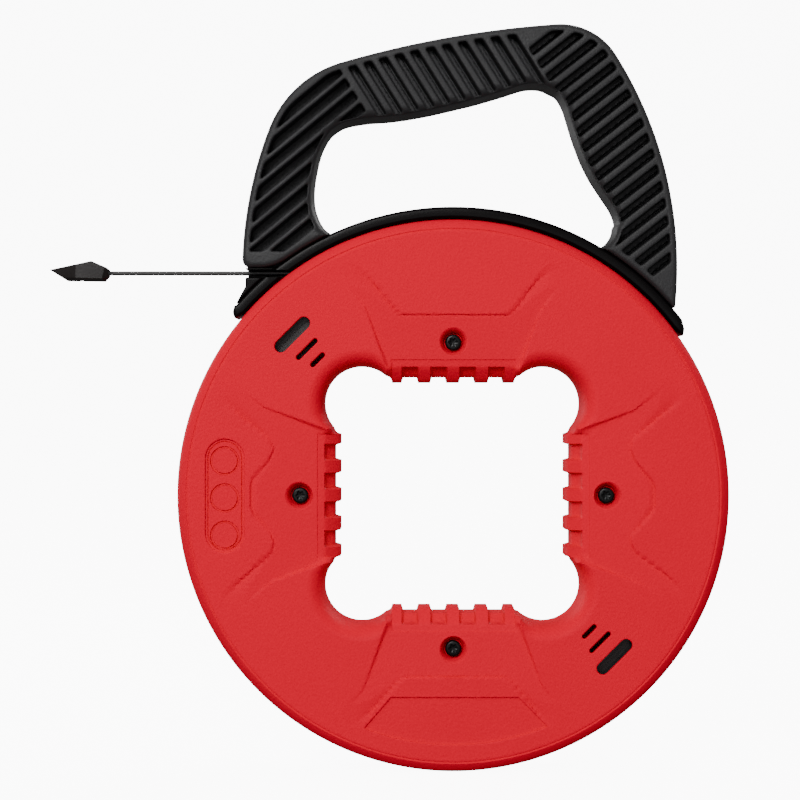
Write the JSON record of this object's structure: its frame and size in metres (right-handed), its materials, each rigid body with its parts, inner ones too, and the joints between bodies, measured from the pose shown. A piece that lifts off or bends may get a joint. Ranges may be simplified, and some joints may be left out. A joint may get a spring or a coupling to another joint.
{
  "type": "fish tape reel",
  "caption": "Hand-held fish tape reel: flat steel tape with a spearhead tip, wound in a round red two-part case that turns under a ribbed black carrying handle.",
  "frame": {"origin": "on the turning axis of the case, halfway through its thickness, in the middle of the central opening", "axes": "+Z from the axis towards the handle's grip, front face towards -Y, +X to the right seen from the front; the tape leaves towards -X"},
  "size_m": [0.2854, 0.038, 0.3116],
  "materials": {
    "case_red": "fine moulded grain",
    "handle_black": "matte moulded",
    "guide_black": "smooth",
    "tape_steel": "oiled spring steel",
    "tip_steel": "black oxide",
    "black_steel": "black oxide",
    "plain_steel": "plain"
  },
  "bodies": {
    "handle": {"handle_front_shell": "handle_black", "handle_rear_shell": "handle_black", "handle_screws": "black_steel", "rim_guide": "guide_black", "mouth_guide": "guide_black", "guide_shoe_left": "guide_black", "guide_shoe_top": "guide_black", "guide_shoe_right": "guide_black", "shoe_screws": "plain_steel"},
    "case": {"front_cover": "case_red", "rear_cover": "case_red", "case_screws": "black_steel", "tape_coil_front": "tape_steel", "tape_coil_rear": "tape_steel", "tape_coil_inner": "tape_steel", "tape_anchor": "plain_steel", "anchor_screw": "black_steel"},
    "tape": {"tape_lead": "tape_steel", "tape_tip": "tip_steel", "tip_rivet": "plain_steel"}
  },
  "joints": [
    {"name": "case_spin", "type": "hinge", "parent": "handle", "child": "case", "pos_m": [0, 0, 0], "axis": [0, 1, 0], "continuous": true},
    {"name": "tape_feed", "type": "slide", "parent": "handle", "child": "tape", "axis": [-1, 0, 0], "range_m": [-0.05, 0.055]}
  ]
}
